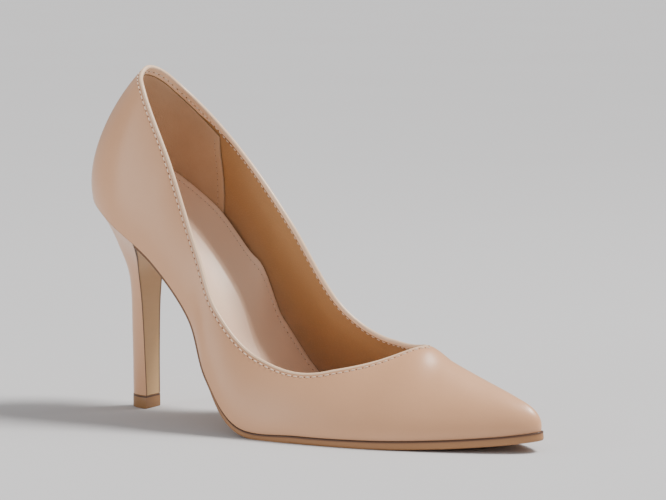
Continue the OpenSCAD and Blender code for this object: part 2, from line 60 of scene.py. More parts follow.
# Thicknesses, and how deep inside the last's surface each layer of the wall begins, in millimetres.
UPPER_THICK, COVER_THICK = 1.2, .6
LINING_OUT, LINING_IN = 2.1, 2.9
GRIP_OUT, GRIP_IN, GRIP_DROP = 3.25, 3.8, 3.5
SKIVED = .4              # share of their thickness the layers lose at the foot opening
EDGE_HEIGHT = 1.2
MARGIN_WIDTH = 12        # how far the upper is turned under the insole
STITCH_PITCH, STITCH_SHARE = 2.8, .62    # stitch spacing, and the share of it that is thread
SOCK_THICK, SOCK_STITCH_IN = 1.05, 3.0
SOLE_THICK, WAIST_THICK, SOLE_GAP, SOLE_END = 3.7, 1.4, .1, 9.40625

# ---------------------------------------------------------------- the last
# x, outer y, inner y, outer z, inner z, ridge x y z, bulge, low and high fullness
STATIONS = np.array([
    [224, 3, 3, 8.6, 8.6, 212.5, 3, 21.5, 1.2, .55, .55],
    [220, -3, 8.5, 8, 8, 205, 3, 24, 1.1, .55, .55],
    [208.5, -10, 15, 6.5, 6.5, 191.5, 3, 29, 1, .5, .54],
    [188.5, -20, 22, 4.8, 4.8, 179, 2.5, 34.5, 1.5, .41, .48],
    [163, -30, 29, 3.6, 3.6, 171.5, 2, 39.1, 1.8, .35, .44],
    [131, -36.5, 34, 3.2, 3.6, 159.5, 1.5, 42, 2.4, .37, .46],
    [102, -38.5, 31.5, 4.4, 9.2, 133, 1, 57.5, 3, .4, .49],
    [83.5, -35, 25, 23, 31, 107, 0, 92, 3.1, .4, .5],
    [70.5, -29.5, 22.5, 47, 55.5, 86, 0, 120, 3.5, .4, .45],
    [50, -28, 25.5, 69, 74.5, 64.5, 0, 144.5, 4, .4, .45],
    [26, -26, 26, 84.5, 88.5, 52, 0, 159.5, 4.6, .4, .45],
    [9, -16, 16, 93, 95, 49, 0, 161.5, 5.3, .37, .44],
    [0, 0, 0, 96, 96, 48.5, 0, 162, 5.2, .36, .44]], float)
OUTER_CUT = [1, .5, .4, .31, .3, .45, .585, .65, .69]
INNER_CUT = [1, .7, .72, .73, .63, .57, .575, .66]
CUT = np.array(OUTER_CUT + INNER_CUT[::-1])[:, None]
SOCK_EDGE = np.array([5.6, 5.4, 5, 4.9, 4.9, 5.3, 6.1, 6.5, 8.2, 11, 12.5, 13, 13])[:, None]
SOCK_MID = np.array([5.7, 5.5, 5.2, 5.2, 5.7, 6.3, 7, 7.3, 7.9, 8.8, 9.6, 9.8, 9.8])[:, None]

order = list(range(13)) + list(range(11, 0, -1))
side = [1] * 13 + [2] * 11
LOWER = np.array([[STATIONS[s, 0], STATIONS[s, k], STATIONS[s, k + 2]] for s, k in zip(order, side)])
RIDGE = STATIONS[order][:, 5:8]
SHAPE = STATIONS[order][:, 8:11]


def blend4(p, f):
    """Catmull-Rom through four rows."""
    return ((2 * p[1] + (p[2] - p[0]) * f + (2 * p[0] - 5 * p[1] + 4 * p[2] - p[3]) * f ** 2
             + (3 * p[1] - p[0] - 3 * p[2] + p[3]) * f ** 3) / 2)


def loop(p, u):
    """Smooth closed curve through the rows of p."""
    t = np.mod(np.asarray(u, float), len(p))
    i = np.floor(t).astype(int)
    return blend4([p[(i + k) % len(p)] for k in (-1, 0, 1, 2)], (t - i)[..., None])


def path(p, t):
    """Smooth open curve through the rows of p."""
    t = np.asarray(t, float)
    q = np.vstack([2 * p[:1] - p[1:2], p, 2 * p[-1:] - p[-2:-1]])
    i = np.clip(np.floor(t).astype(int), 0, len(p) - 2)
    return blend4([q[i + k] for k in range(4)], (t - i)[..., None])


def station(u):
    t = np.mod(np.asarray(u, float), TURN)
    return np.minimum(t, TURN - t)


def unit(v):
    return v / np.maximum(np.linalg.norm(v, axis=-1, keepdims=True), 1e-9)


def mix(a, b, t):
    return a + (b - a) * t


def section(u):
    """The four control points of the wall's section at ring position u."""
    f, r, s = loop(LOWER, u), loop(RIDGE, u), loop(SHAPE, u)
    q = np.clip(station(u), .05, BACK - .05)
    along = loop(RIDGE, q + .02) - loop(RIDGE, q - .02)
    fade = np.clip((6 - q) / 2, 0, 1)
    slope = along[..., 2] / along[..., 0] * fade ** 2 * (3 - 2 * fade)
    w = (f - r) * [1, 1, 0]
    tilt = np.zeros_like(w)
    tilt[..., 2] = w[..., 0] * slope
    low = np.zeros_like(w)
    low[..., 2] = s[..., 1] * (r[..., 2] - f[..., 2])
    return f, f + unit(w) * s[..., :1] + low, r + s[..., 2:3] * (w + tilt), r


def bezier(c, v):
    v = np.asarray(v)[..., None]
    e = 1 - v
    return c[0] * e ** 3 + 3 * c[1] * e * e * v + 3 * c[2] * e * v * v + c[3] * v ** 3


def bezier_rate(c, v):
    v = np.asarray(v)[..., None]
    e = 1 - v
    return 3 * ((c[1] - c[0]) * e * e + 2 * (c[2] - c[1]) * e * v + (c[3] - c[2]) * v * v)


def outward(u, v):
    return unit(np.cross(bezier(section(u - .02), v) - bezier(section(u + .02), v),
                         bezier_rate(section(u), v)))


def top(u):
    """Share of the wall that is left under the foot opening."""
    q, t = station(u), np.mod(u, TURN)
    k = np.clip(q - THROAT, 0, 1)
    dip = np.where(t < BACK, .34, .17) * k * (1 - k) ** 2
    cut = path(CUT, np.clip(t - THROAT, 0, TURN - 2 * THROAT))[..., 0]
    return np.where(q <= THROAT, 1, np.minimum(1, cut - dip))


def skived(u, v):
    """The layers are thinner over the last part of the wall below the opening."""
    near = np.clip((v / top(u) - .75) / .25, 0, 1)
    ahead = np.clip((station(u) - 3.4) / .6, 0, 1)
    return 1 - SKIVED * near ** 2 * (3 - 2 * near) * ahead


def inside(u, v, depth):
    """A point depth millimetres inside the last; the two sides share the ridge ahead of the throat."""
    u, v, depth = np.broadcast_arrays(*[np.asarray(x, float) for x in (u, v, depth)])
    d = (depth * skived(u, v))[..., None]
    q = station(u)
    ridge_n = unit(outward(q, np.full_like(q, .97)) + outward(TURN - q, np.full_like(q, .97)))
    on_ridge = loop(RIDGE, q) - d * ridge_n
    return np.where((v >= 1)[..., None], on_ridge, bezier(section(u), v) - d * outward(u, v))


def spine_station(q):
    """The middle line's own station, so that its points spread evenly under the toe and the heel."""
    return q + 1.8 * np.maximum(0, 1 - q / 4) ** 2 - 1.4 * np.maximum(0, (q - 9) / 3) ** 2


def middle(q):
    """Halfway between the two sides of the lower edge."""
    return (loop(LOWER, q) + loop(LOWER, TURN - q)) / 2


def bottom_normal(q):
    s = np.clip(q, .5, BACK - .5)
    d = middle(s - .1) - middle(s + .1)
    return unit(np.stack([-d[..., 2], 0 * d[..., 0], d[..., 0]], -1))


def spine(q, height):
    s = spine_station(q)
    return middle(s) + np.asarray(height)[..., None] * bottom_normal(s)


def share(u, height):
    """Share of the wall that reaches the given height above the lower edge."""
    c = section(u)
    return height / bottom_normal(station(u))[..., 2] / (3 * (c[1][..., 2] - c[0][..., 2]))


def flat(u, w, height, inset):
    """A point on a flat layer of the bottom, from its inset edge (w = 0) to the middle (w = 1)."""
    q = station(u)
    edge, mid = loop(LOWER, u), spine(q, 0 * q)
    start = inset / np.linalg.norm(edge - mid, axis=-1)
    w = np.asarray(mix(start, 1, np.asarray(w)))[..., None]
    h = np.asarray(height)[..., None]
    return mix(edge + h * bottom_normal(q), spine(q, height), w)


def layer(u, w, edge, mid, depth):
    """A point on a layer that rests on the insole, on one smooth curve from side to side."""
    c = spine(station(u), mid)
    e = inside(u, share(u, edge), depth)
    far = inside(TURN - u, share(TURN - u, edge), depth)
    w = np.asarray(w)[..., None]
    p = mix(e, c, w)
    tilt, dish = (e - far)[..., 2:] / 2, ((e + far) / 2 - c)[..., 2:]
    return np.concatenate([p[..., :2], c[..., 2:] + tilt * (1 - w) + dish * (1 - w) ** 2], -1)


def sock_point(u, w, drop=0.0):
    """A point on the sock, from its edge (w = 0) to its middle (w = 1), lowered by drop."""
    q = station(u)
    inset = mix(3.3, 4.0, np.clip((q - 7) / 1.5, 0, 1))
    return layer(u, w, path(SOCK_EDGE, q)[..., 0] - drop, path(SOCK_MID, q)[..., 0] - drop, inset)


# ---------------------------------------------------------------- meshes
def face_out(mesh):
    """Turns every face of a closed mesh outwards."""
    bm = bmesh.new()
    bm.from_mesh(mesh)
    bmesh.ops.recalc_face_normals(bm, faces=bm.faces)
    bm.to_mesh(mesh)
    bm.free()


def build(name, patches, node, tone, sharp):
    """One welded, smooth mesh from grids of points in last millimetres."""
    verts, faces, tones, n = [], [], [], 0
    for k, p in enumerate(patches):
        rows, cols = p.shape[:2]
        idx = n + np.arange(rows * cols).reshape(rows, cols)
        verts.append(p.reshape(-1, 3))
        tones.append(np.broadcast_to(tone[k], (rows, cols)).reshape(-1))
        faces.append(np.stack([idx[:-1, :-1], idx[1:, :-1], idx[1:, 1:], idx[:-1, 1:]], -1).reshape(-1, 4))
        n += rows * cols
    v = np.vstack(verts)
    key = np.round(v / .002).astype(np.int64)
    _, first, back = np.unique(key, axis=0, return_index=True, return_inverse=True)
    f = back.reshape(-1)[np.vstack(faces)]
    good = []
    for a in f:
        ring = [a[i] for i in range(4) if a[i] != a[i - 1]]
        if len(set(ring)) > 2:
            good.append(ring)
    mesh = bpy.data.meshes.new(name)
    mesh.from_pydata(((v[first] + SHIFT) * MM).tolist(), [], good)
    face_out(mesh)
    shades = mesh.attributes.new("tone", "FLOAT", "POINT")
    shades.data.foreach_set("value", np.concatenate(tones)[first].astype(np.float32))
    mesh.shade_smooth()
    mesh.set_sharp_from_angle(angle=math.radians(sharp))
    o = bpy.data.objects.new(name, mesh)
    bpy.context.scene.collection.objects.link(o)
    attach(o, "root")
    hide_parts(node)
    return o


def flip(p):
    return p[::-1]


def strip(a, b, steps=4):
    """A border between two rows of points."""
    return np.stack([mix(a, b, k / steps) for k in range(steps + 1)], 1)


def spread(*parts):
    """Ring positions from the toe to the heel back, then mirrored to the toe."""
    half = np.concatenate([np.linspace(a, b, n, endpoint=False) for a, b, n in parts] + [[BACK]])
    return np.concatenate([half, TURN - half[-2::-1]])


RING = spread((0, 1, 20), (1, 3, 24), (3, 3.75, 12), (3.75, 4.75, 40), (4.75, 6, 30), (6, 12, 96))
ring_gap = station(RING) > THROAT


def rim(a, b, keep):
    """Border faces only where the two halves of the ring stand apart."""
    out = []
    for i in range(len(a) - 1):
        if keep[i] or keep[i + 1]:
            out.append(np.stack([np.stack([a[i], b[i]]), np.stack([a[i + 1], b[i + 1]])]))
    return out


def ring_grid(us, s, depth, low, high):
    v = low[:, None] + (high - low)[:, None] * s[None]
    v[:, -1] = np.where(high >= 1, 1.0, v[:, -1])
    return inside(us[:, None] + 0 * v, v, depth + 0 * v)


# ---------------------------------------------------------------- the foot opening
PEAK = .8       # how much taller the folded edge stands at the throat


def opening_line(spacing=.5):
    """The foot opening as an evenly spaced open line from the throat round to the throat again."""
    us = np.concatenate([np.linspace(4, 5, 160, endpoint=False), np.linspace(5, 19, 900, endpoint=False),
                         np.linspace(19, 20, 161)])
    p = inside(us, top(us), 0)
    n = outward(us, np.minimum(top(us), .97))
    n[0] = n[-1] = unit(n[0] + n[-1])
    d = np.concatenate([[0], np.cumsum(np.linalg.norm(np.diff(p, axis=0), axis=1))])
    t = np.linspace(0, d[-1], int(d[-1] / spacing))
    p, n = [np.stack([np.interp(t, d, a[:, k]) for k in range(3)], 1) for a in (p, n)]
    u = np.interp(t, d, us)
    run = unit(np.gradient(p, axis=0))
    run[0] = run[-1] = [0, -1, 0]
    rise = unit(np.cross(run, n))
    return p, unit(np.cross(rise, run)), rise, u


LINE, LINE_N, LINE_UP, LINE_U = opening_line()
POINTED = 1 + PEAK * np.maximum(0, 1 - (station(LINE_U) - THROAT) * 4)[:, None] ** 2
# at the throat the two sides of a row meet in a mitre
MITRE = np.ones((len(LINE), 1))
MITRE[[0, -1]] = 1 / max(.3, float(LINE_UP[0] @ unit(LINE_UP[3])))


def to_line(p):
    """Distance from points to the foot opening."""
    flat = p.reshape(-1, 3)
    out = np.empty(len(flat))
    for a in range(0, len(flat), 4000):
        d = np.linalg.norm(flat[a:a + 4000, None] - LINE[None, ::2], axis=2)
        out[a:a + 4000] = d.min(1)
    return out.reshape(p.shape[:-1])


EASE = 1 - (1 - np.linspace(0, 1, 46)) ** 1.6
STITCH_DROP = .9


def make_upper():
    us = RING
    tops = top(us)
    outer = ring_grid(us, EASE, 0, 0 * tops, tops)
    d = to_line(outer)
    n = outward(us[:, None] + 0 * d, np.minimum(tops[:, None] * EASE[None], .97))
    groove = .1 * np.exp(-((d - STITCH_DROP) / .4) ** 2)
    outer = outer - n * groove[..., None]
    for i in range(len(us) // 2 + 1):     # both halves keep one ridge
        if tops[i] >= 1:
            outer[len(us) - 1 - i, -1] = outer[i, -1]
    low = share(us, UPPER_THICK)
    s_in = np.linspace(0, 1, 24)
    inner = ring_grid(us, s_in, UPPER_THICK, low, tops)
    edge = outer[:, 0]
    q = station(us)
    foot, centre = loop(LOWER, us), spine(q, 0)
    share_in = np.minimum(.8, MARGIN_WIDTH / np.linalg.norm(foot - centre, axis=1))
    turned = mix(foot, centre, share_in[:, None])
    turned_in = turned + UPPER_THICK * bottom_normal(q)
    under = np.stack([turned, mix(turned, edge, .5), edge], 1)
    over = np.stack([turned_in, mix(turned_in, inner[:, 0], .5), inner[:, 0]], 1)
    patches = [outer, under, flip(inner), flip(over), flip(np.stack([turned, turned_in], 1))]
    patches += rim(outer[:, -1], inner[:, -1], ring_gap)
    tone = [np.clip(1 - d / 9, 0, 1)] + [0.0] * (len(patches) - 1)
    return build("upper_leather", patches, "upper", tone, sharp=50)


def make_edge():
    """The folded leather that caps the upper and the lining, and turns down inside at the heel."""
    q = station(LINE_U)
    wall = LINING_IN * (1 - SKIVED)
    shape = [(0, 0), (-.015, .25), (-.01, .5), (.06, .76), (.2, .93), (.4, 1.02), (.6, 1.02), (.8, .93),
             (.94, .76), (1.03, .5), (1.06, .2)]
    rows = [LINE - LINE_N * a * wall + LINE_UP * (.1 + EDGE_HEIGHT * b) * POINTED for a, b in shape]
    leg = 3.3 * np.clip((q - 8.6) / .9, .04, 1)
    rate = np.linalg.norm(bezier_rate(section(LINE_U), top(LINE_U)), axis=-1)
    fold = [(0, 3.12), (.25, 3.2), (.5, 3.24), (.75, 3.26), (.95, 3.26), (1, 3.1), (.95, 2.98),
            (.5, 2.96), (0, 2.93)]
    for k, depth in fold:
        rows.append(inside(LINE_U, top(LINE_U) * .9999 - leg * k / rate, depth) + LINE_UP * .1)
    rows.append(rows[0])
    return build("topline_edge", [np.stack(rows, 1)], "topline_edge", [0.0], sharp=70)


def make_lining():
    us = RING
    tops = top(us)
    s = 1 - (1 - np.linspace(0, 1, 36)) ** 1.3
    low = share(us, 1.3)
    face = ring_grid(us, s, LINING_IN, low, tops)
    back = ring_grid(us, np.linspace(0, 1, 12), LINING_OUT, low, tops)
    patches = [flip(face), back, np.stack([face[:, 0], back[:, 0]], 1)]
    patches += rim(back[:, -1], face[:, -1], ring_gap)
    # painted light: tone grows with height, so the lining is painted golden ochre higher up where light falls
    # and pinkish tan lower down in shade
    height = (face - face[:, :1])[..., 2]
    tone = [flip(np.clip(height / 28, 0, 1))] + [0.0] * (len(patches) - 1)
    return build("lining_leather", patches, "lining", tone, sharp=50)


def make_grip():
    """The suede heel grip; its front edges bow forward."""
    cols, rows_n = 100, 44
    c = np.linspace(-1, 1, cols)[:, None]
    k = np.linspace(0, 1, rows_n)[None]
    bow = .12 * np.sin(math.pi * (k * .9 + .08)) * np.abs(c) ** 8
    us = 12 + c * (3.05 + bow)
    low = share(us, 5.2)
    high = top(us) - GRIP_DROP / np.linalg.norm(bezier_rate(section(us), top(us)), axis=-1)
    v = mix(low, high, k)
    face, back = inside(us, v, GRIP_IN), inside(us, v, GRIP_OUT)
    patches = [flip(face), back, strip(back[:, -1], face[:, -1]), strip(face[:, 0], back[:, 0]),
               strip(back[0], face[0]), strip(face[-1], back[-1])]
    ends = np.minimum(np.arange(cols), np.arange(cols)[::-1])[:, None] / 3
    tops = np.arange(rows_n)[::-1][None] / 2
    tone = [flip(np.clip(1 - np.minimum(ends, tops), 0, 1))] + [0.0] * 5
    grip = build("heel_grip", patches, "heel_grip", tone, sharp=50)
    rows = [(inside(us[i, 3:-1], v[i, 3:-1], GRIP_IN + .06), -outward(us[i, 3:-1], v[i, 3:-1]))
            for i in (2, -3)]
    return grip, rows


def stitches(name, runs, radius, node, hole):
    """Rows of short threads with a round dark disc between each two, painted shade for the stitch hole; each
    run is (points, normals).
    """
    verts, faces, tones = [], [], []
    sides, rings, hole_sides = 8, 6, 12
    for pts, nrm in runs:
        d = np.concatenate([[0], np.cumsum(np.linalg.norm(np.diff(pts, axis=0), axis=1))])
        count = int(d[-1] / STITCH_PITCH)
        grab = lambda a, t: np.array([np.interp(t, d, a[:, k]) for k in range(3)])
        for i in range(count):
            t0 = (i + .5 - STITCH_SHARE / 2) * STITCH_PITCH
            t1 = (i + .5 + STITCH_SHARE / 2) * STITCH_PITCH
            a, b = grab(pts, t0), grab(pts, t1)
            up = unit(grab(nrm, (t0 + t1) / 2))
            run = unit(b - a)
            across = np.cross(up, run)
            base = sum(len(x) for x in verts)
            block = []
            for r in range(rings + 1):
                x = r / rings
                sag = math.sin(math.pi * x)
                c = mix(a, b, x) + up * (radius * (-.55 + .95 * sag))
                rad = radius * (.45 + .55 * math.sin(math.pi * min(max(x, .12), .88)))
                for k in range(sides):
                    g = 2 * math.pi * k / sides
                    block.append(c + (across * math.cos(g) + up * math.sin(g)) * rad)
            block += [a - up * radius * .5, b - up * radius * .5]
            verts.append(np.array(block))
            tones += [0.0] * len(block)
            for r in range(rings):
                for k in range(sides):
                    p0, p1 = base + r * sides + k, base + r * sides + (k + 1) % sides
                    faces.append((p0, p1, p1 + sides, p0 + sides))
            end = base + rings * sides
            for k in range(sides):
                faces.append((base + (k + 1) % sides, base + k, base + (rings + 1) * sides))
                faces.append((end + k, end + (k + 1) % sides, base + (rings + 1) * sides + 1))
            if i:
                base = sum(len(x) for x in verts)
                c = grab(pts, i * STITCH_PITCH)
                # the hole is a dark disc just proud of the leather, tone 1: painted shade standing in for the
                # pricked hole
                disc = [c + up * .04]
                for height, size in ((.02, 1), (-.3, .7)):
                    for k in range(hole_sides):
                        g = 2 * math.pi * k / hole_sides
                        turn = across * math.cos(g) + run * math.sin(g)
                        disc.append(c + turn * hole * size + up * height)
                verts.append(np.array(disc))
                tones += [1.0] * len(disc)
                rim_at, floor_at = base + 1, base + 1 + hole_sides
                for k in range(hole_sides):
                    j = (k + 1) % hole_sides
                    faces.append((base, rim_at + k, rim_at + j))
                    faces.append((rim_at + j, rim_at + k, floor_at + k, floor_at + j))
                faces.append(tuple(floor_at + k for k in range(hole_sides - 1, -1, -1)))
    mesh = bpy.data.meshes.new(name)
    mesh.from_pydata(((np.vstack(verts) + SHIFT) * MM).tolist(), [], faces)
    face_out(mesh)
    at = mesh.attributes.new("tone", "FLOAT", "POINT")
    at.data.foreach_set("value", np.array(tones, np.float32))
    mesh.shade_smooth()
    o = bpy.data.objects.new(name, mesh)
    bpy.context.scene.collection.objects.link(o)
    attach(o, "root")
    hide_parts(node)
    return o


def make_topline_stitches():
    """One row on the outside below the folded edge, and its other side on the lining."""
    outer = LINE - LINE_UP * STITCH_DROP * MITRE - LINE_N * .03
    rate = np.linalg.norm(bezier_rate(section(LINE_U), top(LINE_U)), axis=-1)
    inner = inside(LINE_U, top(LINE_U) * .9999 - 1.3 / rate, np.where(station(LINE_U) > 8.6, 3.32, 2.94))
    return stitches("topline_stitching", [(outer, LINE_N), (inner[8:-8], -LINE_N[8:-8])], .23,
                    "topline_stitching", hole=.3)


def make_sock():
    us = spread((0, 3, 40), (3, 12, 190))
    w = np.concatenate([[0, .006, .016, .03], np.linspace(.05, 1, 46)])
    grid_u = us[:, None] + 0 * w[None]
    grid_w = w[None] + 0 * us[:, None]
    t = sock_point(grid_u, grid_w)
    b = sock_point(grid_u, grid_w, SOCK_THICK)
    q = station(us)
    n = bottom_normal(q)[:, None]
    drop = np.array([.35, .12, .03, 0] + [0] * 46)     # rounds the upper corner of the edge
    t = t - n * drop[None, :, None]
    side_face = strip(t[:, 0], b[:, 0])
    dist = np.linalg.norm(t - t[:, :1], axis=2)
    groove = .1 * np.exp(-((dist - SOCK_STITCH_IN) / .5) ** 2) * (station(us) > 4.5)[:, None]
    t = t - n * groove[..., None]
    tone = [np.clip(1 - dist / 6, 0, 1), 0.0, 0.0]
    patches = [t, flip(b), flip(side_face)]
    return build("sock", patches, "sock", tone, sharp=50)


def make_sock_stitches():
    us = np.linspace(4.6, 19.4, 600)
    q = station(us)
    e = sock_point(us, 0 * us)
    c = spine(q, path(SOCK_MID, q)[..., 0])
    w = SOCK_STITCH_IN / np.linalg.norm(e - c, axis=1)
    return stitches("sock_stitching", [(sock_point(us, w) - bottom_normal(q) * .06, bottom_normal(q))],
                    .19, "sock_stitching", hole=.34)


def make_grip_stitches(rows):
    return stitches("heel_grip_stitching", rows, .17, "heel_grip_stitching", hole=.24)


def sole_out(q):
    """How far the outsole stands out past the upper; at the waist it lies under it."""
    return mix(.7, -.4, np.clip((q - 5.6) / 1.2, 0, 1))


def sole_depth(q):
    return mix(SOLE_THICK, WAIST_THICK, np.clip((q - 5.2) / 1.6, 0, 1))


def make_outsole():
    half = np.concatenate([np.linspace(0, 1, 20, endpoint=False), np.linspace(1, 5, 60, endpoint=False),
                           np.linspace(5, SOLE_END, 90)])
    us = np.concatenate([-half[:0:-1], half])
    q = station(us)
    w = np.linspace(0, 1, 26)
    U, W = us[:, None] + 0 * w, w[None] + 0 * us[:, None]
    Q = station(U)
    depth, out = sole_depth(q), sole_out(q)
    face = flat(U, W, -SOLE_GAP + 0 * Q, -sole_out(Q))
    tread = flat(U, W, -sole_depth(Q), .5 - sole_out(Q))
    tread[..., 2] = np.maximum(tread[..., 2], 0)
    # edge: a fine bead at the top, a shallow waist, a rounded lower corner
    profile = [(0, 0), (.04, .12), (.12, .16), (.2, .06), (.3, 0), (.6, -.02), (.82, -.1), (.94, -.28),
               (1, -.5)]
    rows = []
    for t, o in profile:
        h = -SOLE_GAP - (depth - SOLE_GAP) * t
        p = flat(us, 0 * us, h, -(out + o * np.clip(depth / SOLE_THICK, .4, 1)))
        p[:, 2] = np.maximum(p[:, 2], 0)
        rows.append(p)
    rows[0], rows[-1] = face[:, 0], tread[:, 0]
    side_face = np.stack(rows, 1)
    ends = [flip(np.stack([face[0], tread[0]], 1)), np.stack([face[-1], tread[-1]], 1)]
    shade = np.array([1, 1, .9, .45, .1, 0, 0, .1, .2])[None] + 0 * us[:, None]
    shade = np.maximum(shade, np.clip((q - 6.0) / 1.4, 0, .75)[:, None])
    patches = [face, flip(tread), side_face] + ends
    tone = [1.0, 0.0, shade, .5, .5]
    return build("outsole", patches, "outsole", tone, sharp=55)


# ---------------------------------------------------------------- heel
# share of the height, x of the breast, depth, half width, from the tip up
HEEL_SECTIONS = np.array([[0, 29.6, 10.2, 5.1], [.3, 29.2, 9.9, 5.8], [.6, 29, 10.6, 7.2],
                          [.78, 29.6, 18, 10], [.9, 33.5, 27, 16.5]])
HEEL_Y, TOP_PIECE = -.9, 5.9


def corner(depth):
    """Ring position where the back and the breast of the heel meet."""
    return BREAST + depth / 22


def rail(depth, a, across, seat, s):
    """One line of the heel from its tip up to the seat."""
    keys = []
    for h in HEEL_SECTIONS:
        x, d, w = h[1] - depth, h[2] - 2 * depth, h[3] - depth
        keys.append([x - d * math.cos(a), HEEL_Y + w * across, mix(TOP_PIECE + .1, seat[2], h[0])])
    keys.append(seat)
    return path(np.array(keys), s * 5)


def seat_point(u, depth, w=0.0):
    q = station(np.array([u]))
    f, c = loop(LOWER, np.array([u]))[0], spine(q, -.1 + 0 * q)[0]
    if w >= 1:
        return c
    return mix(f - .1 * bottom_normal(q)[0], c, w + (1 - w) * depth / np.linalg.norm(f - c))


def heel_back(depth, n=96, rows=70):
    c, s, out = corner(depth), np.linspace(0, 1, rows), []
    for i in range(n + 1):
        t = i / n
        u = mix(c, 12, 2 * t) if t <= .5 else 24 - mix(c, 12, 2 - 2 * t)
        a = math.pi * (t - .5)
        out.append(rail(depth, a, math.sin(a), seat_point(u, depth), s))
    return np.array(out)


def heel_breast(depth, n=24, rows=70, narrowed=.97):
    c, s, out = corner(depth), np.linspace(0, 1, rows), []
    for i in range(n + 1):
        g = i / n
        u, w = (24 - c, 2 * g) if g <= .5 else (c, 2 - 2 * g)
        out.append(rail(depth, math.pi / 2, 1 - 2 * g, seat_point(u, depth, w), s))
    g = np.array(out)
    m = (g[0] + g[-1]) / 2
    return m + (g - m) * narrowed


def make_heel_cover():
    o, i = heel_back(0), heel_back(COVER_THICK)
    patches = [o, flip(i), np.stack([o[:, -1], i[:, -1]], 1), flip(np.stack([o[:, 0], i[:, 0]], 1)),
               np.stack([o[0], i[0]], 1), flip(np.stack([o[-1], i[-1]], 1))]
    s = np.linspace(0, 1, 70)[None] + 0 * o[..., 0]
    tone = [np.clip(1 - s * 30, 0, 1)] + [0.0] * 3 + [1.0, 1.0]
    return build("heel_cover", patches, "heel_cover", tone, sharp=50)


def make_breast():
    o, i = heel_breast(.05), heel_breast(COVER_THICK)
    patches = [o, flip(i), np.stack([o[:, -1], i[:, -1]], 1), flip(np.stack([o[:, 0], i[:, 0]], 1)),
               np.stack([o[0], i[0]], 1), flip(np.stack([o[-1], i[-1]], 1))]
    g = np.abs(np.linspace(-1, 1, 25))[:, None] + 0 * o[..., 0]
    width = np.linalg.norm(o[0] - o[-1], axis=1)[None]
    edge = np.clip(1 - (1 - g) * width / 2 / .9, 0, 1)
    tone = [edge] + [1.0] * 5
    return build("heel_breast_cover", patches, "heel_breast_cover", tone, sharp=50)


def make_top_piece():
    front_x, length, half_width = 29.6, 10.4, 5.25
    a = np.linspace(-math.pi / 2, math.pi / 2, 73)
    back = np.stack([front_x - length * np.cos(a), HEEL_Y + half_width * np.sin(a)], 1)
    front = np.stack([np.full(9, front_x), np.linspace(HEEL_Y + half_width, HEEL_Y - half_width, 9)], 1)
    ring = np.vstack([back, front[1:]])
    mid = np.array([25.0, HEEL_Y])
    # height, share of the outline, and how dark it is painted: painted shade, strongest in the groove above
    # the tip and fading upwards
    profile = [(0, 0, 0), (0, .93, 0), (.12, .975, 0), (.4, 1, 0), (2.5, 1, 0), (4.9, 1, 0),
               (5.1, .985, 1), (5.35, .985, 1), (5.5, .995, .8), (5.75, .99, .3), (5.9, .96, .3),
               (5.9, 0, .3)]
    rows, shades = [], []
    for z, k, t in profile:
        p = mid + (ring - mid) * k
        rows.append(np.column_stack([p, np.full(len(p), z)]))
        shades.append(np.full(len(p), t))
    grid = np.stack(rows, 1)
    return build("top_piece", [grid], "top_piece", [np.stack(shades, 1)], sharp=50)


# ---------------------------------------------------------------- materials
def srgb(r, g, b):
    f = lambda c: (c / 255 / 12.92) if c / 255 <= .04045 else ((c / 255 + .055) / 1.055) ** 2.4
    return (f(r), f(g), f(b), 1)


def darker(colour, by):
    return (colour[0] * by, colour[1] * by, colour[2] * by, 1)


